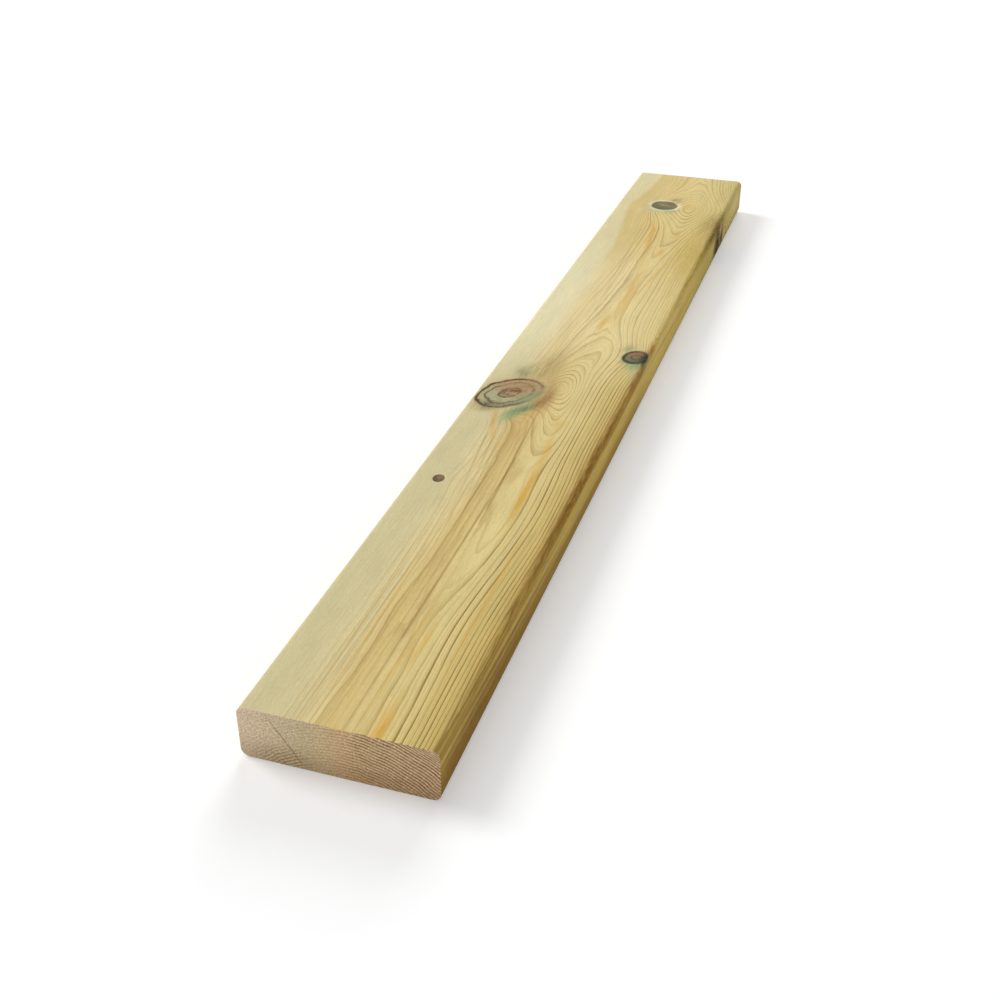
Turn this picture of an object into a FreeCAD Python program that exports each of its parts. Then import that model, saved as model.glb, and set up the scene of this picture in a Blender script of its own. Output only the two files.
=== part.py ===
"""Smooth planed decking board: one sawn and planed length of treated softwood.

The board is a rounded-rectangle section run straight along its length. All four long arrises are
rounded by the planer, and both ends are sawn square and left crisp.

Frame, in millimetres: +X along the length, +Y across the width, +Z up. The origin is the centre of
the underside, where the board lies on its joists. The wear face is up.
"""

import FreeCAD
import Part

import os

BOARD_LENGTH = 800.0  # sawn end to sawn end
BOARD_WIDTH = 95.0  # planed edge to planed edge
BOARD_THICKNESS = 28.0  # underside to wear face
WEAR_ARRIS_RADIUS = 4.0  # rounding of the two long arrises of the wear face
UNDERSIDE_ARRIS_RADIUS = 4.0  # rounding of the two long arrises of the underside

OUTPUT_FOLDER = "parts"


def section_wire(width, thickness, upper_radius, lower_radius):
    """The planed cross-section as a closed wire in the YZ plane, centred on Y = 0 and standing on Z = 0."""
    half_width = width / 2
    corners = [  # (side of the board, height, arc radius, which way the arc's centre lies in Z)
        (1, 0.0, lower_radius, 1),
        (1, thickness, upper_radius, -1),
        (-1, thickness, upper_radius, -1),
        (-1, 0.0, lower_radius, 1),
    ]
    arcs = []
    for turn, (side, height, radius, inward) in enumerate(corners):
        on_face = FreeCAD.Vector(0, side * (half_width - radius), height)
        on_edge = FreeCAD.Vector(0, side * half_width, height + inward * radius)
        centre = FreeCAD.Vector(0, on_face.y, on_edge.z)
        outward = (on_face + on_edge - centre * 2).normalize()
        first, last = (on_face, on_edge) if turn % 2 == 0 else (on_edge, on_face)
        arcs.append(Part.Arc(first, centre + outward * radius, last))
    edges = []
    for arc, following in zip(arcs, arcs[1:] + arcs[:1]):
        edges.append(arc.toShape())
        edges.append(Part.LineSegment(arc.EndPoint, following.StartPoint).toShape())
    return Part.Wire(edges)


def decking_board():
    """The whole board: the section extruded from one sawn end to the other."""
    profile = section_wire(
        BOARD_WIDTH, BOARD_THICKNESS, WEAR_ARRIS_RADIUS, UNDERSIDE_ARRIS_RADIUS
    )
    profile.translate(FreeCAD.Vector(-BOARD_LENGTH / 2, 0, 0))
    return Part.Face(profile).extrude(FreeCAD.Vector(BOARD_LENGTH, 0, 0))


SUB_PARTS = {"decking_board": decking_board}


def main():
    os.makedirs(OUTPUT_FOLDER, exist_ok=True)
    for node, make in SUB_PARTS.items():
        make().exportStep(os.path.join(OUTPUT_FOLDER, node + ".step"))


main()
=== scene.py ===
"""Looks of the smooth planed decking board: treated softwood with knots, on a white studio floor.

The wood is one solid field of growth rings round a pith that lies below the board, so the lines on the
faces, the edges and the sawn ends belong together. Places on the board are given in millimetres:
s runs from the near end along the length, t from the left edge across the width, z up from the underside.
"""

import math
from collections import namedtuple

import bpy
import numpy as np
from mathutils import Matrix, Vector


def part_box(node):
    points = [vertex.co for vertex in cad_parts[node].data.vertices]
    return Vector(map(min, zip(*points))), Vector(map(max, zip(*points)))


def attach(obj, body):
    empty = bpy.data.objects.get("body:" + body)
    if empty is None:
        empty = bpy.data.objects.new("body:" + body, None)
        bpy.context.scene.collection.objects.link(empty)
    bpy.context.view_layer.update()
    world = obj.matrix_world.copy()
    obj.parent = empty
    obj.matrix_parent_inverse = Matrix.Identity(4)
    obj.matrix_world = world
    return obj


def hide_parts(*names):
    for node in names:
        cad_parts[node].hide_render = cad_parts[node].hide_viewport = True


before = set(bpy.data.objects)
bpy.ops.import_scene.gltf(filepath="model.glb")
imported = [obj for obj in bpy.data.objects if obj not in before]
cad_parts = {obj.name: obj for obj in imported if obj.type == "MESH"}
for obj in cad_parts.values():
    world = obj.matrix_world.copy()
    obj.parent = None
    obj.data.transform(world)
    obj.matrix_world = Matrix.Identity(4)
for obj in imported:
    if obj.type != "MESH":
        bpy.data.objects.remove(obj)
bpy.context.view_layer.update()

MM = 0.001
NODE = "decking_board"
BOARD_LOW, BOARD_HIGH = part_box(NODE)
LENGTH, WIDTH, THICKNESS = (side / MM for side in BOARD_HIGH - BOARD_LOW)
ARRIS_RADIUS = 4.0

# The tree that the board was sawn from
PITH_T = 50.0  # the pith runs along the board under this line
PITH_DEPTH = 43.0  # and this far below the underside
PITH_WANDER = 1.2  # sideways, in a slow wave
PITH_WAVE = 140  # mm of length for each radian of that wave
PITH_WAVE_START = 0.6
RINGS_PER_MM = 0.50  # straight above the pith, at the wear face
RING_CROWDING = 0.03  # further out the rings crowd together, by this much for each mm squared
INNER_CROWDING = 0.10  # further in there are this many more for each mm
FINE_LINES_PER_RING = 3.0  # faint lines between the growth lines
FIRST_RING = 0.45  # how far through a ring the wear face is above the pith
SLOW_DRIFT = 1.0  # rings by which slow noise moves a line
QUICK_DRIFT = 0.16  # and quick noise
LATE_START, LATE_FULL = 0.62, 0.93  # parts of a ring where its late wood starts and is fully dark

# Where branches and flutes swell the rings: s, t on the wear face, reach along, reach across, turn, rings
SWELLINGS = [
    (80, 85, 45, 18, 0, 0.9),  # the lines near the right edge bow to and fro
    (190, 86, 42, 18, 0, -0.9),
    (262, 80, 30, 14, 0, 0.5),
    (180, 66, 60, 6, 0, -0.7),
    (211, 16, 14, 10, 0, -1.0),  # the small knot
    (325, 22, 19, 13, 34, -13.0),  # the large knot's collar
    (343, 52, 18, 8, -8, -2.85),  # the tongue of grain below it
    (312, 60, 46, 8, -9, -2.8),
    (388, 63, 36, 9, 7, -2.0),
    (402, 90, 20, 12, 0, -3.0),  # the edge knot
    (650, 12, 120, 17, 0, 9.0),  # close rings on the way up to the far knot
    (713, 46, 24, 17, 0, -5.0),  # the far knot's collar
    (713, 66, 18, 6, 0, -1.4),  # the eye of grain below it
    (694, 66, 60, 8, 0, -3.4),
    (706, 99, 38, 16, 0, -10.0),  # the branch that shows on the right edge
]

# Streaks where the plane ran along one layer: s, t, half length, half width, turn, strength
AMBER_STREAKS = [
    (5, 66.0, 13, 2.2, 0, 0.85),
    (66, 62.0, 13, 1.3, 0, 0.55),
    (200, 67.5, 16, 1.5, -2, 0.85),
    (226, 67.0, 16, 1.6, -3, 0.60),
    (262, 65.5, 10, 1.6, -6, 0.65),
    (293, 63.5, 5, 2.6, 0, 0.45),
    (90, 35.2, 70, 0.5, 0, 0.75),
    (55, 56.5, 40, 0.6, 0, 0.50),
    (110, 79.5, 40, 0.7, 0, 0.60),
    (285, 24.5, 18, 1.2, -14, 0.60),
    (449, 52.0, 10, 1.5, 3, 0.80),
    (512, 57.0, 40, 2.2, -1, 0.60),
    (546, 67.5, 36, 1.0, 7, 0.55),
    (598, 61.5, 7, 1.8, 0, 0.60),
    (628, 47.2, 24, 1.2, -5, 1.00),
    (664, 40.0, 20, 0.9, -22, 0.55),
    (641, 66.5, 4, 2.0, 0, 0.55),
    (714, 62.0, 6, 4.5, 0, 0.50),
]
DARK_STREAKS = [
    (60, 29.0, 70, 0.45, 0, 0.35),
    (80, 32.6, 60, 0.35, 0, 0.25),
    (120, 51.0, 90, 0.50, 0, 0.65),
    (245, 50.0, 50, 0.45, -3, 0.65),
    (50, 55.5, 45, 0.40, 0, 0.35),
    (200, 43.5, 70, 0.35, 0, 0.25),
    (255, 46.5, 45, 0.40, -3, 0.30),
    (255, 27.0, 45, 0.40, -6, 0.40),
    (265, 30.5, 36, 0.40, -6, 0.35),
    (560, 40.5, 70, 0.35, 0, 0.30),
    (600, 36.0, 60, 0.35, -2, 0.35),
    (150, 41.0, 90, 0.30, 0, 0.35),
    (105, 46.5, 80, 0.30, 0, 0.35),
    (232, 39.5, 50, 0.35, -3, 0.35),
    (244, 36.0, 40, 0.35, -5, 0.35),
    (80, 101.8, 70, 0.9, 2.6, 1.00),  # down the right edge
    (60, 104.8, 60, 0.7, 3.0, 0.90),
    (130, 99.4, 60, 0.6, 2.2, 0.55),
    (70, 110.5, 70, 1.8, 4.0, 0.80),
    (215, 112.0, 70, 1.4, 2.0, 0.45),
    (330, 98.6, 50, 0.6, -1.5, 0.50),
    (480, 104.0, 60, 1.0, 3.0, 0.35),
]

# Where the growth lines are faint, because one layer lies almost flat in the wear face
FAINT_LINES = [
    (115, 60, 90, 6, 0, 0.70),
    (120, 43, 110, 4.5, 0, 0.65),
    (341, 53, 9, 4.5, -8, 0.85),  # the middles of the two eyes
    (716, 66, 10, 4.5, 0, 0.75),
]

# A knot's place and reaches as above, its count of rings, the colours of its two sides and of its rings,
# then its bark rim's colour and width and its halo's colour and strength, widths in reaches
Knot = namedtuple("Knot", "s t along across turn rings cool warm line rim rim_width halo halo_amount")


def srgb(red, green, blue):
    """A display colour of 0 to 255 as the linear colour that shaders take."""
    channels = (c / 255 for c in (red, green, blue))
    return tuple(c / 12.92 if c <= 0.04045 else ((c + 0.055) / 1.055) ** 2.4 for c in channels) + (1.0,)


DARK_STREAK = srgb(146, 114, 58)
AMBER_STREAK = srgb(204, 162, 74)
END_LATE = srgb(112, 84, 54)
END_LOWER_DARK = srgb(140, 112, 76)  # the colour that a sawn end darkens towards at its bottom
RAY = srgb(226, 204, 172)
# painted shade inside the drying check on the near end
CRACK_SHADE = srgb(92, 72, 50)
SLIVER = srgb(236, 214, 176)

KNOTS = [
    Knot(325, 22, 24.0, 16.3, 34, 2.6, srgb(172, 169, 130), srgb(178, 152, 110), srgb(92, 66, 38),
         srgb(78, 46, 28), 0.045, srgb(200, 176, 124), 0.40),
    Knot(211, 16.5, 3.9, 3.2, 0, 1.6, srgb(128, 108, 76), srgb(140, 112, 82), srgb(74, 50, 40),
         srgb(86, 62, 46), 0.14, srgb(222, 212, 168), 0.60),
    Knot(401, 87, 10.0, 8.3, 20, 2.2, srgb(116, 114, 80), srgb(144, 112, 80), srgb(82, 64, 44),
         srgb(50, 54, 34), 0.09, srgb(192, 188, 126), 0.50),
    Knot(713, 41.5, 10.5, 11.0, 15, 4.0, srgb(104, 104, 60), srgb(130, 116, 70), srgb(78, 66, 36),
         srgb(96, 88, 52), 0.08, srgb(218, 216, 172), 0.90),
]

# Copper green, bark and resin stains, and painted shade along the right arris: s, t, half length, half width,
# turn, colour, strength
STAINS_AND_ARRIS_SHADE = [
    (235, 95.2, 105, 2.8, 0, srgb(138, 101, 38), 1.05),  # with the next line, along the right arris: painted shade of the rounded arris, with a resin tint
    (570, 95.2, 80, 2.0, 0, srgb(170, 142, 62), 0.70),
    (15, 114, 100, 10.0, 0, srgb(132, 98, 40), 0.80),
    (280, 42, 22, 4.5, -8, srgb(180, 146, 86), 0.45),  # round the large knot
    (326, 44.5, 14, 4.5, 0, srgb(160, 118, 62), 1.00),
    (304.5, 35.0, 9, 3.0, 28, srgb(88, 126, 90), 1.30),
    (296, 31.5, 9, 2.8, 10, srgb(146, 160, 110), 0.80),
    (306.5, 37.5, 5, 1.8, 42, srgb(92, 128, 90), 0.80),
    (319, 43.5, 7, 2.4, 12, srgb(146, 102, 54), 0.90),
    (301, 14, 3.0, 5.0, -20, srgb(66, 64, 44), 0.80),
    (354, 22.5, 6.0, 3.6, -15, srgb(112, 120, 86), 1.00),
    (364, 24.5, 6.0, 2.4, 15, srgb(160, 164, 124), 0.70),
    (363, 35, 19, 6.5, 5, srgb(168, 144, 90), 0.85),
    (388, 88.5, 4.5, 3.6, 0, srgb(96, 138, 96), 1.10),  # round the edge knot
    (380, 90.5, 9, 2.4, -8, srgb(182, 184, 130), 0.60),
    (412, 79, 5, 3.0, 15, srgb(146, 146, 98), 0.75),
    (372, 95.5, 18, 1.8, 0, srgb(148, 102, 42), 0.85),
    (418, 95.0, 8, 1.8, 0, srgb(168, 110, 42), 0.80),
    (700, 40, 4.5, 8.0, 0, srgb(172, 184, 142), 0.85),  # round the far knot
    (701, 48, 4.5, 3.6, 20, srgb(146, 142, 98), 0.70),
    (729, 48, 4.5, 3.0, 20, srgb(140, 122, 78), 0.90),
    (605, 86, 56, 11, 0, srgb(182, 154, 62), 0.66),
    (775, 94.5, 22, 2.6, 0, srgb(164, 142, 80), 0.55),
    (660, 95.4, 36, 2.3, 0, srgb(116, 92, 40), 1.00),  # the branch on the right edge
    (678, 99, 12, 4.0, 0, srgb(120, 96, 50), 0.70),
    (680, 88, 17, 6.0, 0, srgb(150, 126, 58), 0.50),
    (680, 109, 9, 8.5, -10, srgb(70, 50, 18), 1.20),
    (672, 115, 7, 8.0, 0, srgb(40, 30, 10), 1.20),
    (698, 112, 5, 8.0, 0, srgb(50, 38, 12), 1.20),
    (692, 101.5, 3.0, 4.0, -6, srgb(204, 160, 120), 0.80),
    (768, 103, 24, 7, 0, srgb(222, 206, 144), 0.55),
]

# Marks on the knots themselves, in the same terms
KNOT_MARKS = [
    (328.5, 24.0, 1.7, 5.0, -12, srgb(106, 64, 38), 0.95),
    (336, 29.5, 2.0, 5.0, -24, srgb(138, 100, 62), 0.60),
    (325, 18.2, 3.6, 1.4, 10, srgb(96, 62, 44), 0.75),
    (322.3, 21.5, 1.4, 2.4, 0, srgb(84, 64, 46), 0.70),
    (322, 35.5, 10, 3.4, 28, srgb(120, 144, 110), 0.70),
    (306, 15, 3.0, 6.0, -12, srgb(88, 76, 56), 0.80),
    (338, 20, 2.0, 8.0, -28, srgb(160, 116, 80), 0.40),
    (400, 92.6, 7, 2.4, 0, srgb(36, 46, 30), 1.10),
    (311, 29, 7, 0.8, 51, srgb(92, 80, 56), 0.75),
    (392.5, 86, 1.6, 5.0, -10, srgb(60, 72, 46), 0.80),
    (706, 38, 2.4, 7.0, 20, srgb(84, 88, 54), 0.65),
    (720, 46, 3.0, 4.0, -30, srgb(92, 84, 54), 0.70),
    (714, 40, 2.0, 2.6, 0, srgb(172, 142, 106), 0.50),
]


# ---------------------------------------------------------------------------------------------------
# Arithmetic on shader nodes


class Signal:
    """A value or colour that varies over the surface: an output of one node, with arithmetic."""

    def __init__(self, socket):
        self.socket = socket

    def __add__(self, other):
        return calculate("ADD", self, other)

    def __sub__(self, other):
        return calculate("SUBTRACT", self, other)

    def __rsub__(self, other):
        return calculate("SUBTRACT", other, self)

    def __mul__(self, other):
        return calculate("MULTIPLY", self, other)

    def __truediv__(self, other):
        return calculate("DIVIDE", self, other)



def tree_of(*values):
    """The node tree that the first Signal among these belongs to."""
    return next(v.socket.node.id_data for v in values if isinstance(v, Signal))


def plug(socket, value):
    """Links a Signal into a socket, or sets the socket's own value."""
    if isinstance(value, Signal):
        value.socket.node.id_data.links.new(value.socket, socket)
    else:
        socket.default_value = value


def calculate(operation, *values):
    """One arithmetic step on Signals and numbers."""
    node = tree_of(*values).nodes.new("ShaderNodeMath")
    node.operation = operation
    for socket, value in zip(node.inputs, values):
        plug(socket, value)
    return Signal(node.outputs[0])


def smooth(value, low, high):
    """0 below low, 1 above high, and an even slope between. It falls instead where low is above high."""
    node = tree_of(value).nodes.new("ShaderNodeMapRange")
    node.interpolation_type = "SMOOTHSTEP"
    rises = low <= high
    for name, number in (("From Min", min(low, high)), ("From Max", max(low, high)),
                         ("To Min", 0.0 if rises else 1.0), ("To Max", 1.0 if rises else 0.0)):
        node.inputs[name].default_value = number
    plug(node.inputs["Value"], value)
    return Signal(node.outputs[0])


def hill(*offsets):
    """A smooth hill, 1 where every offset is 0. Each offset is a distance over the hill's reach."""
    square = 0.0
    for offset in offsets:
        square = offset * offset + square
    return calculate("EXPONENT", square * -0.5)


def profile(value, *stops):
    """A curve or colour band drawn through (position, level or colour) stops, smooth between them."""
    node = tree_of(value).nodes.new("ShaderNodeValToRGB")
    ramp = node.color_ramp
    ramp.interpolation = "EASE"
    first, last = stops[0][0], stops[-1][0]
    plug(node.inputs[0], (value - first) / (last - first))
    while len(ramp.elements) < len(stops):
        ramp.elements.new(0.5)
    for element, (place, level) in zip(ramp.elements, stops):
        element.position = (place - first) / (last - first)
        element.color = level if isinstance(level, tuple) else (level, level, level, 1.0)
    return Signal(node.outputs[0])


def combine(x, y, z):
    """Three values as one vector or colour."""
    node = tree_of(x, y, z).nodes.new("ShaderNodeCombineXYZ")
    for socket, value in zip(node.inputs, (x, y, z)):
        plug(socket, value)
    return Signal(node.outputs[0])


def noise(x, y, z, detail=2.0, roughness=0.5):
    """Cloudy noise about 0.5 with features about one unit of x, y and z across."""
    place = combine(x, y, z)
    node = tree_of(place).nodes.new("ShaderNodeTexNoise")
    plug(node.inputs["Vector"], place)
    node.inputs["Scale"].default_value = 1.0
    node.inputs["Detail"].default_value = detail
    node.inputs["Roughness"].default_value = roughness
    return Signal(node.outputs[0])


def dice(value):
    """A number from 0 to 1 that is the same wherever value is, and unlike it elsewhere."""
    node = tree_of(value).nodes.new("ShaderNodeTexWhiteNoise")
    node.noise_dimensions = "1D"
    plug(node.inputs["W"], value)
    return Signal(node.outputs["Value"])


def mix(amount, under, over, how="MIX"):
    """Colour under with colour over laid on it by amount."""
    node = tree_of(amount, under, over).nodes.new("ShaderNodeMix")
    node.data_type = "RGBA"
    node.blend_type = how
    for socket, value in zip((node.inputs[0], node.inputs[6], node.inputs[7]), (amount, under, over)):
        plug(socket, value)
    return Signal(node.outputs[2])


# ---------------------------------------------------------------------------------------------------
# The wood as a field


class Spot:
    """A point in the board as signals: s, t and z in mm, and face_t, the t at which the ray from the pith
    through the point meets the wear face. Branches grow along such rays, so s and face_t place a knot."""

    def __init__(self, tree):
        coordinates = tree.nodes.new("ShaderNodeTexCoord")
        split = tree.nodes.new("ShaderNodeSeparateXYZ")
        tree.links.new(coordinates.outputs["Object"], split.inputs[0])
        x, y, z = (Signal(output) for output in split.outputs)
        self.s = (x - BOARD_LOW.x) / MM
        self.t = (BOARD_HIGH.y - y) / MM
        self.z = (z - BOARD_LOW.z) / MM
        wander = calculate("SINE", self.s / PITH_WAVE + PITH_WAVE_START) * PITH_WANDER
        self.sideways = self.t - wander - PITH_T
        self.above_pith = self.z + PITH_DEPTH
        self.face_t = self.sideways * (PITH_DEPTH + THICKNESS) / self.above_pith + PITH_T + wander


def around(spot, s, t, along, across, turn):
    """Offsets of a spot from (s, t) on the wear face, in units of the reaches, on axes turned by an angle."""
    ds, dt = spot.s - s, spot.face_t - t
    if turn:
        cosine, sine = math.cos(math.radians(turn)), math.sin(math.radians(turn))
        ds, dt = ds * cosine + dt * sine, dt * cosine - ds * sine
    return ds / along, dt / across


def count_rings(spot):
    """The growth ring at a spot, counted outward from the one that touches the wear face above the pith."""
    square = spot.sideways * spot.sideways + spot.above_pith * spot.above_pith
    outward = calculate("SQRT", square) - (PITH_DEPTH + THICKNESS)
    crowded = calculate("MAXIMUM", outward, 0.0)
    inner = calculate("MINIMUM", outward, 0.0)
    rings = outward * RINGS_PER_MM + crowded * crowded * RING_CROWDING + inner * INNER_CROWDING + FIRST_RING
    for *place, amount in SWELLINGS:
        rings = rings + hill(*around(spot, *place)) * amount
    slow = noise(spot.s / 110, spot.face_t / 14, spot.z / 60, 1.0)
    quick = noise(spot.s / 16, spot.face_t / 4, spot.z / 12, 2.0)
    return rings + (slow - 0.5) * SLOW_DRIFT + (quick - 0.5) * QUICK_DRIFT


def late_wood(rings):
    """How hard and dark the wood is within its ring: a slow rise, then a sharp edge."""
    within = calculate("FRACT", rings)
    strength = dice(calculate("FLOOR", rings)) * 0.8 + 0.45
    return smooth(within, LATE_START, LATE_FULL) * smooth(within, 1.0, 0.96) * strength


# Bands of colour or strength across the board, as (face_t, level): the early wood towards the near end, in
# the middle and towards the far end, then the growth lines. The middle set is lighter than the near one:
# partly the wood's own tone, partly painted light that lightens the board away from the near end.
EARLY_NEAR = [(-35, srgb(204, 193, 150)), (8, srgb(202, 191, 147)), (22, srgb(205, 193, 148)),
              (30, srgb(212, 197, 148)), (36, srgb(213, 197, 146)), (39, srgb(208, 185, 125)),
              (49, srgb(208, 185, 124)), (53, srgb(212, 192, 132)), (64, srgb(213, 195, 136)),
              (73, srgb(212, 192, 131)), (84, srgb(202, 180, 114)), (92, srgb(199, 174, 105)),
              (97.5, srgb(196, 162, 82)), (100, srgb(226, 198, 108)), (105, srgb(206, 176, 93)),
              (113, srgb(170, 140, 70)), (125, srgb(160, 130, 66))]
EARLY_MIDDLE_WITH_PAINTED_LIGHT = [(-35, srgb(220, 210, 167)), (8, srgb(220, 210, 168)), (22, srgb(220, 209, 165)),
             (27, srgb(220, 205, 157)), (33, srgb(218, 200, 148)), (48, srgb(220, 201, 147)),
             (58, srgb(219, 201, 144)), (75, srgb(218, 199, 142)), (90, srgb(215, 195, 134)),
             (97.5, srgb(224, 198, 118)), (102, srgb(216, 188, 106)), (125, srgb(198, 170, 92))]
EARLY_FAR = [(-35, srgb(209, 199, 153)), (8, srgb(210, 199, 153)), (21, srgb(211, 198, 151)),
             (27, srgb(202, 181, 116)), (34, srgb(205, 185, 122)), (48, srgb(211, 188, 123)),
             (60, srgb(211, 191, 127)), (76, srgb(208, 189, 124)), (90, srgb(202, 183, 117)),
             (97.5, srgb(198, 178, 106)), (105, srgb(202, 182, 104)), (125, srgb(174, 152, 78))]
LATE_LINES = [(-35, srgb(186, 174, 128)), (20, srgb(190, 174, 124)), (30, srgb(190, 156, 92)),
              (45, srgb(160, 132, 74)), (60, srgb(166, 136, 70)), (75, srgb(142, 116, 56)),
              (95, srgb(120, 94, 40)), (125, srgb(112, 84, 36))]
LINE_STRENGTH = [(-35, 0.10), (15, 0.12), (24, 0.45), (38, 0.60), (50, 0.95), (70, 0.95), (82, 0.84),
                 (125, 0.90)]
FINE_LINE_STRENGTH = [(10, 0.0), (24, 0.30), (34, 0.46), (52, 0.46), (64, 0.30), (80, 0.34), (125, 0.25)]
LINE_STRENGTH_ALONG = [(0, 1.0), (380, 1.0), (430, 0.42), (560, 0.50), (640, 1.0), (700, 1.0), (728, 0.6),
                       (800, 0.6)]  # as (s, level)
NEAR_TO_MIDDLE = (320, 440)  # s over which one set of bands gives way to the next, and the painted light of the middle set comes in
MIDDLE_TO_FAR = (520, 640)
BAND_WOBBLE = 5  # mm
FAR_KNOT_LIFT = 11  # mm by which the bands move aside at the far knot
LARGE_KNOT_LIFT = 5  # and on the way to the large knot


def streaks(spot, table):
    """How strongly the streaks in a table show at a spot."""
    shown = 0.0
    for *place, amount in table:
        shown = hill(*around(spot, *place)) * amount + shown
    return shown


def plain_wood(spot, rings):
    """The long grain's colour before knots and stains, made lighter towards the middle by painted light."""
    lift = hill((spot.s - 702) / 42) * FAR_KNOT_LIFT * smooth(spot.face_t, 60, 40)
    wobble = (noise(spot.s / 60, spot.face_t / 9, spot.z / 40) - 0.5) * BAND_WOBBLE
    bend = smooth(spot.s, 215, 290) * hill((spot.face_t - 34) / 8) * LARGE_KNOT_LIFT
    zone = spot.face_t + lift + wobble + bend
    # the middle bands are partly painted light, lighter away from the near end
    early_with_painted_light = mix(smooth(spot.s, *NEAR_TO_MIDDLE), profile(zone, *EARLY_NEAR), profile(zone, *EARLY_MIDDLE_WITH_PAINTED_LIGHT))
    early_with_painted_light = mix(smooth(spot.s, *MIDDLE_TO_FAR), early_with_painted_light, profile(zone, *EARLY_FAR))
    uneven = noise(spot.s / 50, spot.face_t / 5, spot.z / 30) * 1.6 + 0.2
    strength = profile(spot.face_t + lift, *LINE_STRENGTH) * profile(spot.s, *LINE_STRENGTH_ALONG)
    strength = strength * uneven * (1 - streaks(spot, FAINT_LINES))
    late_colour = profile(zone, *LATE_LINES)
    colour = mix(late_wood(rings) * strength, early_with_painted_light, late_colour)
    fine_strength = profile(spot.face_t + lift, *FINE_LINE_STRENGTH) * uneven
    colour = mix(late_wood(rings * FINE_LINES_PER_RING) * fine_strength, colour, late_colour)
    grainy = noise(spot.s / 9, spot.t / 1.2, spot.z / 1.2) * 1.2 + 0.4
    colour = mix(streaks(spot, DARK_STREAKS) * grainy, colour, DARK_STREAK)
    return mix(streaks(spot, AMBER_STREAKS) * grainy, colour, AMBER_STREAK)


def with_stains_and_shade(spot, colour, table):
    """Colour with the marks in a table on it, stains and the painted shade along the right arris, broken up
    along the grain.
    """
    broken = smooth(noise(spot.s / 9, spot.t / 1.2, spot.z / 1.8, 3.0), 0.25, 0.65) * 0.60 + 0.50
    for *place, mark_colour, amount in table:
        colour = mix(hill(*around(spot, *place)) * amount * broken, colour, mark_colour)
    return colour


def knotted(spot, colour):
    """Colour with the knots on it: each has its own rings, a dark rim and a halo in the wood round it."""
    rough = noise(spot.s / 1.1, spot.face_t / 1.1, spot.z / 1.1, 3.0, 0.6)
    bent = noise(spot.s / 8, spot.face_t / 8, spot.z / 8, 1.0) - 0.5
    for knot in KNOTS:
        u, v = around(spot, knot.s, knot.t, knot.along, knot.across, knot.turn)
        out = calculate("SQRT", u * u + v * v) + bent * 0.14 + (rough - 0.5) * 0.14
        halo = hill((out - 1.12) / 0.16) * knot.halo_amount
        colour = mix(halo, colour, knot.halo)
        body = mix(smooth(u + bent, -0.4, 0.3), knot.cool, knot.warm)
        ring = calculate("FRACT", out * knot.rings + bent * 0.2)
        lines = smooth(ring, 0.62, 0.88) * smooth(ring, 1.0, 0.92) * smooth(u + bent * 2, 1.7, -0.3)
        body = mix(lines * (rough + 0.3), body, knot.line)
        body = mix(smooth(rough, 0.40, 0.75) * 0.45, body, knot.line)
        colour = mix(smooth(out, 1.03, 0.97), colour, body)
        rim = hill((out - 0.99) / knot.rim_width) * smooth(v + u * 0.5 + bent * 2, 1.8, -0.8)
        colour = mix(rim * (rough + 0.6), colour, knot.rim)
    return with_stains_and_shade(spot, colour, KNOT_MARKS)


def fibres(spot):
    """Fine streaks along the grain, about 0.5."""
    coarse = noise(spot.s / 18, spot.t / 0.7, spot.z / 0.7, 3.0, 0.6)
    fine = noise(spot.s / 3, spot.t / 0.35, spot.z / 0.35, 2.0, 0.6)
    return coarse * 0.5 + fine * 0.5


def long_grain(spot, rings, fibre):
    """The colour of the faces and edges."""
    colour = knotted(spot, with_stains_and_shade(spot, plain_wood(spot, rings), STAINS_AND_ARRIS_SHADE))
    mottle = noise(spot.s / 45, spot.t / 10, spot.z / 10, 2.0)
    light = (fibre - 0.5) * 0.82 + (mottle - 0.5) * 0.20 + 1.01
    return mix(1.0, colour, combine(light, light, light), "MULTIPLY")


# The near end's bands, as (t, level)
END_COLOURS = [(0, srgb(216, 195, 166)), (14, srgb(208, 188, 157)), (26, srgb(202, 183, 149)),
               (33, srgb(196, 179, 142)), (42, srgb(204, 179, 140)), (50, srgb(208, 176, 134)),
               (60, srgb(205, 175, 134)), (95, srgb(204, 173, 136))]
END_LINES = [(0, 0.10), (36, 0.16), (48, 0.35), (60, 0.80), (95, 0.95)]
END_LOWER_DARK_AMOUNT = 0.42
RAY_AMOUNT = 0.35
RAYS_PER_RADIAN = 60
CRACK_SHADE_AMOUNT = 0.48
CRACK_TOP = (13, 28)  # t, z where the drying check meets the wear face
CRACK_ACROSS = (0.827, 0.562)  # the direction across it, in t and z
CRACK_WIDTH = 0.20
SLIVER_AMOUNT = 0.85
SLIVER_PLACE = (54, 25.5)
SLIVER_ACROSS = (0.75, -0.66)
SLIVER_ALONG = (0.66, 0.75)
SLIVER_WIDTH, SLIVER_LENGTH = 0.22, 2.4
NEAR_HALF = (60, 40)  # s over which the near end's own marks fade out


def offset(spot, place, direction):
    """How far in mm a spot lies from a place (t, z) on a sawn end, measured in one direction."""
    return (spot.t - place[0]) * direction[0] + (spot.z - place[1]) * direction[1]


def end_crack(spot):
    """The drying check across the near end: a fine line from the wear face down to the right."""
    line = offset(spot, CRACK_TOP, CRACK_ACROSS) + (noise(spot.z / 4, spot.t / 9, 0.0) - 0.5) * 1.6
    shown = smooth(spot.z, 1, 5) * smooth(spot.z, 32, 18)
    return hill(line / CRACK_WIDTH) * shown * smooth(spot.s, *NEAR_HALF)


def end_sliver(spot):
    """The torn sliver under the wear face of the near end."""
    line = offset(spot, SLIVER_PLACE, SLIVER_ACROSS) + (noise(spot.t / 2, spot.z / 2, 0.0) - 0.5) * 1.2
    along = offset(spot, SLIVER_PLACE, SLIVER_ALONG)
    return hill(line / SLIVER_WIDTH, along / SLIVER_LENGTH) * smooth(spot.s, *NEAR_HALF)


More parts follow.
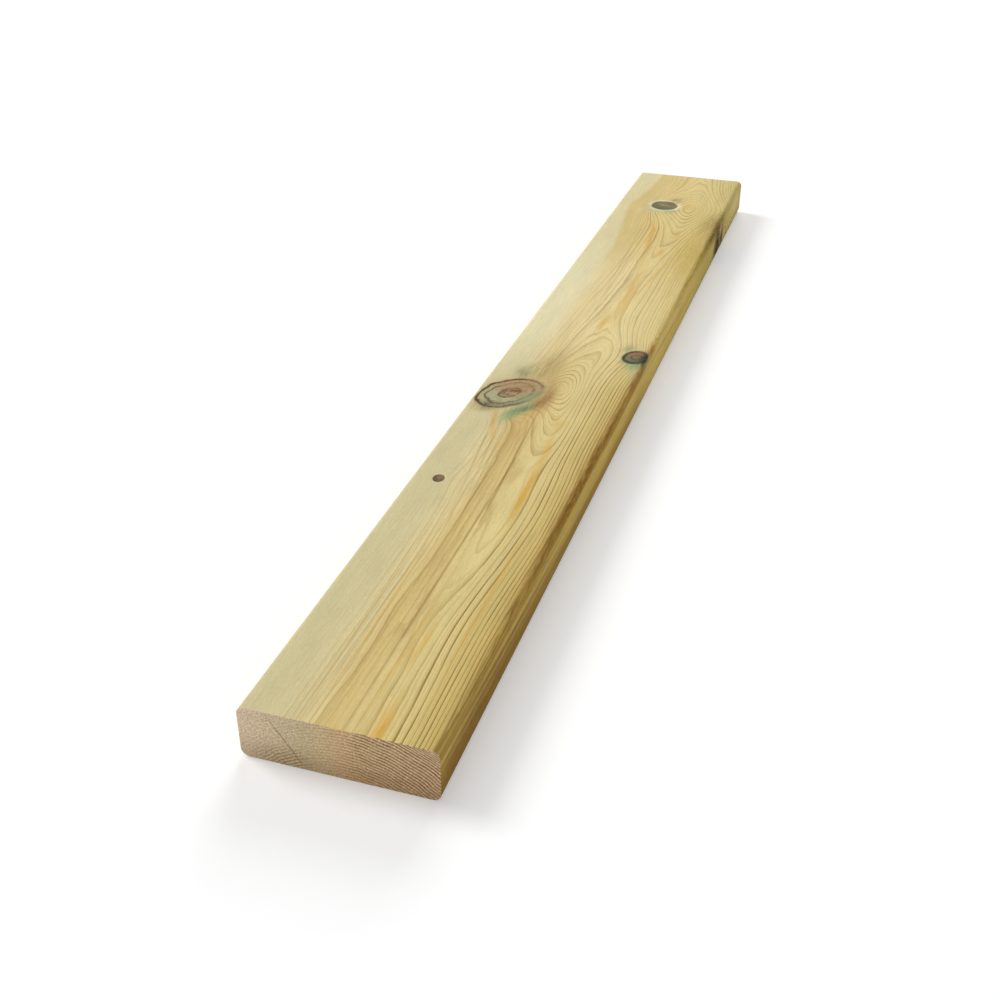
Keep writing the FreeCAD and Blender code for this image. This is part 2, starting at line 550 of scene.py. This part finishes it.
def sawn_end(spot, late, grit):
    """The colour of the sawn ends: end grain with its rings and rays, one drying check whose dark line is
    painted shade, and a torn sliver.
    """
    wobble = (noise(spot.t / 12, spot.z / 8, spot.s / 50) - 0.5) * 8
    colour = profile(spot.t + wobble, *END_COLOURS)
    low = smooth(spot.z, 18, 0)
    patchy = noise(spot.t / 6, spot.z / 4, spot.s / 50) * 1.5 + 0.25
    contrast = profile(spot.t, *END_LINES) * patchy
    contrast = calculate("MAXIMUM", contrast, hill((spot.t - 22) / 9, (spot.z - 3) / 5) * 0.8)
    colour = mix(late * contrast, colour, END_LATE)
    # the sawn end darker towards its bottom
    colour = mix(low * END_LOWER_DARK_AMOUNT, colour, END_LOWER_DARK)
    angle = calculate("ARCTAN2", spot.sideways, spot.above_pith)
    rays = smooth(noise(angle * RAYS_PER_RADIAN, spot.z / 6, spot.s / 50, 2.0), 0.56, 0.75)
    colour = mix(rays * RAY_AMOUNT, colour, RAY)
    # painted shade inside the drying check
    colour = mix(end_crack(spot) * CRACK_SHADE_AMOUNT, colour, CRACK_SHADE)
    colour = mix(end_sliver(spot) * SLIVER_AMOUNT, colour, SLIVER)
    light = (grit - 0.5) * 2.3 + 1.14
    return mix(1.0, colour, combine(light, light, light), "MULTIPLY")


END_SKIN = (0.22, 0.18)  # mm under a sawn end where its end grain starts to show, and fully shows
SPECULAR_LEVEL = 0.02
ROUGHNESS, FIBRE_ROUGHNESS, END_ROUGHNESS = 0.62, 0.3, 0.25  # the first, and what the others add
LINE_RELIEF, FIBRE_RELIEF = 0.03, 0.06  # bump, in mm
END_LINE_RELIEF, SAW_RELIEF, CRACK_RELIEF, SLIVER_RELIEF = 0.06, 0.12, -0.25, 0.3


def board_material():
    """The whole board's material: long grain on the planed faces and end grain on the sawn ends."""
    material = bpy.data.materials.new("treated_pine")
    material.use_nodes = True
    tree = material.node_tree
    shader = tree.nodes["Principled BSDF"]
    spot = Spot(tree)
    rings = count_rings(spot)
    fibre = fibres(spot)
    within = calculate("FRACT", rings)
    end_late = smooth(within, 0.30, 0.75) * smooth(within, 1.0, 0.85)
    grit = noise(spot.t / 1.0, spot.z / 1.0, spot.s / 5, 3.0, 0.75)
    half = LENGTH / 2
    at_end = smooth(calculate("ABSOLUTE", spot.s - half), half - END_SKIN[0], half - END_SKIN[1])
    faces, ends = long_grain(spot, rings, fibre), sawn_end(spot, end_late, grit)
    plug(shader.inputs["Base Color"], mix(at_end, faces, ends))
    plug(shader.inputs["Roughness"], (fibre - 0.5) * FIBRE_ROUGHNESS + at_end * END_ROUGHNESS + ROUGHNESS)
    shader.inputs["Specular IOR Level"].default_value = SPECULAR_LEVEL
    relief = late_wood(rings) * LINE_RELIEF + fibre * FIBRE_RELIEF
    end_relief = end_late * END_LINE_RELIEF + grit * SAW_RELIEF
    end_relief = end_relief + end_crack(spot) * CRACK_RELIEF + end_sliver(spot) * SLIVER_RELIEF
    bump = tree.nodes.new("ShaderNodeBump")
    bump.inputs["Distance"].default_value = MM
    plug(bump.inputs["Height"], at_end * end_relief + (1 - at_end) * relief)
    plug(shader.inputs["Normal"], Signal(bump.outputs[0]))
    return material


# ---------------------------------------------------------------------------------------------------
# The board's mesh

ARC_STEPS = 3  # for each half of a rounded arris
FACE_STEPS = 102  # across a wide face
EDGE_STEPS = 16  # up an edge
LENGTH_STEPS = 340
LENGTH_SAMPLES = 4001  # for working out where the sections go
KNOT_DENSITY = 2.2  # how many more sections there are at a knot
KNOT_MARGIN = 8  # mm beyond a knot's reach that are still fine
GROOVE_DEPTH = 0.22  # of the bark line round a knot, in mm
GROOVE_PLACE, GROOVE_WIDTH = 0.99, 0.07  # in the knot's reaches
DISH_DEPTH = 0.08
TEAR_DEPTH = 0.30
TEAR_S, TEAR_FACE_T = 684, 108
TEAR_LENGTH, TEAR_HEIGHT = 14, 10
UV_MARGIN = 0.004
SKIN_UV_HEIGHT = 0.86  # the skin takes the lower part of the UV map, and the sawn ends lie side by side above
CAP_UV_WIDTH = 0.40
CAP_V = 0.88
NEAR_CAP_U = 0.01
FAR_CAP_U = 0.51


def arc(centre_t, centre_z, from_degrees, to_degrees):
    """Points (t, z) on one arris, both ends included. Angles turn from +t towards +z."""
    turns = np.radians(np.linspace(from_degrees, to_degrees, ARC_STEPS + 1))
    return np.stack([centre_t + ARRIS_RADIUS * np.cos(turns), centre_z + ARRIS_RADIUS * np.sin(turns)], 1)


def section_side(start_arc, end_arc, steps):
    """One side of the section: half an arris, the flat, and half the next arris."""
    flat = np.linspace(start_arc[-1], end_arc[0], steps + 1)[1:-1]
    return np.concatenate([start_arc, flat, end_arc])


def section_sides():
    """The section's four sides as points (t, z): upper, right, lower and left, clockwise seen from the
    near end. Each starts where the last one ends, in the middle of an arris."""
    left, right = ARRIS_RADIUS, WIDTH - ARRIS_RADIUS
    low, high = ARRIS_RADIUS, THICKNESS - ARRIS_RADIUS
    upper = section_side(arc(left, high, 135, 90), arc(right, high, 90, 45), FACE_STEPS)
    edge = section_side(arc(right, high, 45, 0), arc(right, low, 0, -45), EDGE_STEPS)
    lower = section_side(arc(right, low, -45, -90), arc(left, low, -90, -135), FACE_STEPS)
    back = section_side(arc(left, low, 225, 180), arc(left, high, 180, 135), EDGE_STEPS)
    return upper, edge, lower, back


def stations():
    """Places along the board at which the section is repeated, closer together at the knots."""
    fine = np.linspace(0, LENGTH, LENGTH_SAMPLES)
    density = np.ones_like(fine)
    for knot in KNOTS:
        density += KNOT_DENSITY * np.exp(-(((fine - knot.s) / (knot.along + KNOT_MARGIN)) ** 4))
    total = np.concatenate([[0], np.cumsum((density[1:] + density[:-1]) / 2)])
    return np.interp(np.linspace(0, total[-1], LENGTH_STEPS + 1), total, fine)


def end_grid(upper, edge, lower, back):
    """Points (t, z) inside the section, rows from the wear face down: a patch stretched between its sides."""
    top, bottom = upper[:, None], lower[::-1][:, None]
    near, far = back[::-1][None], edge[None]
    u = np.linspace(0, 1, len(upper))[:, None, None]
    v = np.linspace(0, 1, len(edge))[None, :, None]
    corners = ((1 - u) * (1 - v) * upper[0] + u * (1 - v) * upper[-1]
               + (1 - u) * v * lower[-1] + u * v * lower[0])
    return (1 - v) * top + v * bottom + (1 - u) * near + u * far - corners


def skin_sink(along, loop):
    """How far in mm the skin sinks below the planed surface, for each station and each point of the loop:
    a groove in the bark round each knot, a slight dish inside it and a torn patch on the right edge."""
    s, (t, z) = along[:, None], loop.T
    face_t = (t - PITH_T) * (PITH_DEPTH + THICKNESS) / (z + PITH_DEPTH) + PITH_T
    sink = np.zeros((len(along), len(loop)))
    for knot in KNOTS:
        turn = math.radians(knot.turn)
        ds, dt = s - knot.s, face_t - knot.t
        u = (ds * math.cos(turn) + dt * math.sin(turn)) / knot.along
        v = (dt * math.cos(turn) - ds * math.sin(turn)) / knot.across
        out = np.hypot(u, v)
        sink += GROOVE_DEPTH * np.exp(-(((out - GROOVE_PLACE) / GROOVE_WIDTH) ** 2))
        sink += DISH_DEPTH * np.exp(-(out ** 4))
    torn = np.exp(-(((s - TEAR_S) / TEAR_LENGTH) ** 2) - ((face_t - TEAR_FACE_T) / TEAR_HEIGHT) ** 2)
    return sink + TEAR_DEPTH * torn * (0.6 + 0.4 * np.sin(s * 0.9 + 3 * np.sin(z * 0.4)))


def inward_normals(loop):
    """The unit vector (t, z) into the wood at each point of the closed section loop."""
    step = np.roll(loop, -1, 0) - np.roll(loop, 1, 0)
    return np.column_stack([step[:, 1], -step[:, 0]]) / np.linalg.norm(step, axis=1)[:, None]


def skin(along, loop):
    """The planed skin from end to end: its points (s, t, z), its faces and their UVs."""
    count = len(loop)
    inward = inward_normals(loop)
    rows = [np.column_stack([np.full(count, s), loop + inward * depth[:, None]])
            for s, depth in zip(along, skin_sink(along, loop))]
    girth = np.concatenate([[0], np.cumsum(np.linalg.norm(np.roll(loop, -1, 0) - loop, axis=1))])
    u = UV_MARGIN + (1 - 2 * UV_MARGIN) * along / LENGTH
    v = UV_MARGIN + SKIN_UV_HEIGHT * girth / girth[-1]
    places = np.stack(np.meshgrid(u, v, indexing="ij"), -1)
    numbers = np.arange(len(along))[:, None] * count + np.append(np.arange(count), 0)
    return np.concatenate(rows), quads(numbers, True), quads(places, True)


def quads(grid, flip):
    """The four corners of each cell in a grid of values, the other way round where flip is set."""
    a, b, c, d = grid[:-1, :-1], grid[1:, :-1], grid[1:, 1:], grid[:-1, 1:]
    corners = (a, d, c, b) if flip else (a, b, c, d)
    return np.stack([corner.reshape(-1, *grid.shape[2:]) for corner in corners], 1)


def cap_numbers(columns, rows, rim_first, inner_first):
    """Point numbers for the grid of a sawn end: on its rim those of the skin, and new ones inside."""
    numbers = np.zeros((columns, rows), int)
    walk = ([(i, 0) for i in range(columns - 1)] + [(columns - 1, j) for j in range(rows - 1)]
            + [(i, rows - 1) for i in range(columns - 1, 0, -1)] + [(0, j) for j in range(rows - 1, 0, -1)])
    for step, place in enumerate(walk):
        numbers[place] = rim_first + step
    inner = np.arange((columns - 2) * (rows - 2)).reshape(columns - 2, rows - 2)
    numbers[1:-1, 1:-1] = inner_first + inner
    return numbers


def board_mesh():
    """The board as one closed mesh, with a UV map named OFBake that lays out the skin and both sawn ends side
    by side.
    """
    sides = section_sides()
    loop = np.concatenate([side[:-1] for side in sides])
    grid = end_grid(*sides)
    points, faces, uvs = skin(stations(), loop)
    last_rim = len(points) - len(loop)
    inner = grid[1:-1, 1:-1].reshape(-1, 2)
    for s, rim_first, cap_u, flip in ((0.0, 0, NEAR_CAP_U, True), (LENGTH, last_rim, FAR_CAP_U, False)):
        numbers = cap_numbers(*grid.shape[:2], rim_first, len(points))
        points = np.concatenate([points, np.column_stack([np.full(len(inner), s), inner])])
        faces = np.concatenate([faces, quads(numbers, flip)])
        uvs = np.concatenate([uvs, quads(grid / WIDTH * CAP_UV_WIDTH + (cap_u, CAP_V), flip)])
    place = np.column_stack([BOARD_LOW.x + points[:, 0] * MM, BOARD_HIGH.y - points[:, 1] * MM,
                             BOARD_LOW.z + points[:, 2] * MM])
    mesh = bpy.data.meshes.new("decking_board_wood")
    mesh.from_pydata(place.tolist(), [], faces.tolist())
    mesh.uv_layers.new(name="OFBake").data.foreach_set("uv", uvs.astype(np.float32).ravel())
    mesh.polygons.foreach_set("use_smooth", np.ones(len(faces), bool))
    sharpen_rims(mesh, len(loop), (0, last_rim))
    mesh.validate()
    return mesh


def sharpen_rims(mesh, count, rim_starts):
    """Marks the edges between the sawn ends and the skin as sharp."""
    rims = {first + step for first in rim_starts for step in range(count)}
    for edge in mesh.edges:
        a, b = edge.vertices
        edge.use_edge_sharp = a in rims and b in rims and abs(a - b) in (1, count - 1)


# ---------------------------------------------------------------------------------------------------
# Stage

CAMERA_LENS = 46.28  # mm
SENSOR_WIDTH = 36  # mm
CAMERA_PLACE = (-0.77335, -0.19516, 0.39713)
CAMERA_FORWARD = (0.81063, 0.26355, -0.52289)


def camera():
    """The camera at the photograph's viewing angle."""
    data = bpy.data.cameras.new("camera")
    data.lens = CAMERA_LENS
    data.sensor_width = SENSOR_WIDTH
    data.clip_start, data.clip_end = 0.01, 50
    eye = bpy.data.objects.new("camera", data)
    eye.location = CAMERA_PLACE
    eye.rotation_euler = Vector(CAMERA_FORWARD).to_track_quat("-Z", "Y").to_euler()
    bpy.context.scene.collection.objects.link(eye)
    bpy.context.scene.camera = eye


def sees_backdrop(tree):
    """1 for a ray that shows the backdrop: from the camera, or in a reflection or refraction."""
    path = tree.nodes.new("ShaderNodeLightPath")
    shown = [Signal(path.outputs[name]) for name in ("Is Camera Ray", "Is Glossy Ray", "Is Transmission Ray")]
    return calculate("MAXIMUM", calculate("MAXIMUM", shown[0], shown[1]), shown[2])


WORLD_LEVEL = 0.30
SUNS = [  # name, where it shines from, level that it adds to a white floor, softness in degrees
    ("left", (0.20, 0.85, 0.75), 0.355, 25),
    ("back", (0.88, 0.12, 0.39), 0.225, 32),
    ("front", (-0.70, -0.52, 0.40), 0.135, 60),
]


def lights():
    """A white world that lights the board only dimly, and three soft suns."""
    world = bpy.data.worlds.new("studio")
    world.use_nodes = True
    bpy.context.scene.world = world
    background = world.node_tree.nodes["Background"]
    background.inputs["Color"].default_value = (1, 1, 1, 1)
    shown = sees_backdrop(world.node_tree)
    plug(background.inputs["Strength"], shown * (1 - WORLD_LEVEL) + WORLD_LEVEL)
    for name, from_place, level, softness in SUNS:
        towards = Vector(from_place).normalized()
        sun = bpy.data.lights.new(name, "SUN")
        sun.energy = level * math.pi / towards.z
        sun.angle = math.radians(softness)
        lamp = bpy.data.objects.new(name, sun)
        lamp.rotation_euler = towards.to_track_quat("Z", "Y").to_euler()
        bpy.context.scene.collection.objects.link(lamp)


FLOOR_REACH = 12.0  # each way from the board
FLOOR_DIFFUSE = 0.78
FLOOR_GLOW = 0.24  # what it adds to the lit floor, so that the floor reaches white outside the shadow
FLOOR_GAP = 0.2 * MM  # under the board
SEE_THROUGH_REACH = 1.0 * MM  # a ray no longer than this passes through the floor


def sees_through_floor(tree):
    """1 from below, and for rays no longer than the floor's reach under the board, so that the world
    lights the underside, which almost touches the floor."""
    geometry = tree.nodes.new("ShaderNodeNewGeometry")
    path = tree.nodes.new("ShaderNodeLightPath")
    short = calculate("LESS_THAN", Signal(path.outputs["Ray Length"]), SEE_THROUGH_REACH)
    return calculate("MAXIMUM", Signal(geometry.outputs["Backfacing"]), short)


def floor_material():
    """Pale and matt, with a faint glow that only the camera and reflections see."""
    material = bpy.data.materials.new("floor")
    material.use_nodes = True
    tree = material.node_tree
    tree.nodes.clear()
    diffuse = tree.nodes.new("ShaderNodeBsdfDiffuse")
    diffuse.inputs["Color"].default_value = (FLOOR_DIFFUSE,) * 3 + (1,)
    glow = tree.nodes.new("ShaderNodeEmission")
    plug(glow.inputs["Strength"], sees_backdrop(tree) * FLOOR_GLOW)
    both = tree.nodes.new("ShaderNodeAddShader")
    tree.links.new(diffuse.outputs[0], both.inputs[0])
    tree.links.new(glow.outputs[0], both.inputs[1])
    clear = tree.nodes.new("ShaderNodeBsdfTransparent")
    side = tree.nodes.new("ShaderNodeMixShader")
    plug(side.inputs[0], sees_through_floor(tree))
    tree.links.new(both.outputs[0], side.inputs[1])
    tree.links.new(clear.outputs[0], side.inputs[2])
    output = tree.nodes.new("ShaderNodeOutputMaterial")
    tree.links.new(side.outputs[0], output.inputs[0])
    return material


def floor():
    """The studio floor, just under the board."""
    mesh = bpy.data.meshes.new("floor")
    r = FLOOR_REACH
    mesh.from_pydata([(-r, -r, 0), (r, -r, 0), (r, r, 0), (-r, r, 0)], [], [(0, 1, 2, 3)])
    mesh.materials.append(floor_material())
    plane = bpy.data.objects.new("floor", mesh)
    plane.location.z = BOARD_LOW.z - FLOOR_GAP
    bpy.context.scene.collection.objects.link(plane)


camera()
lights()
floor()
board = bpy.data.objects.new("decking_board_wood", board_mesh())
board.data.materials.append(board_material())
bpy.context.scene.collection.objects.link(board)
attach(board, "root")
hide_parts(NODE)
bpy.context.scene.view_settings.view_transform = "Standard"
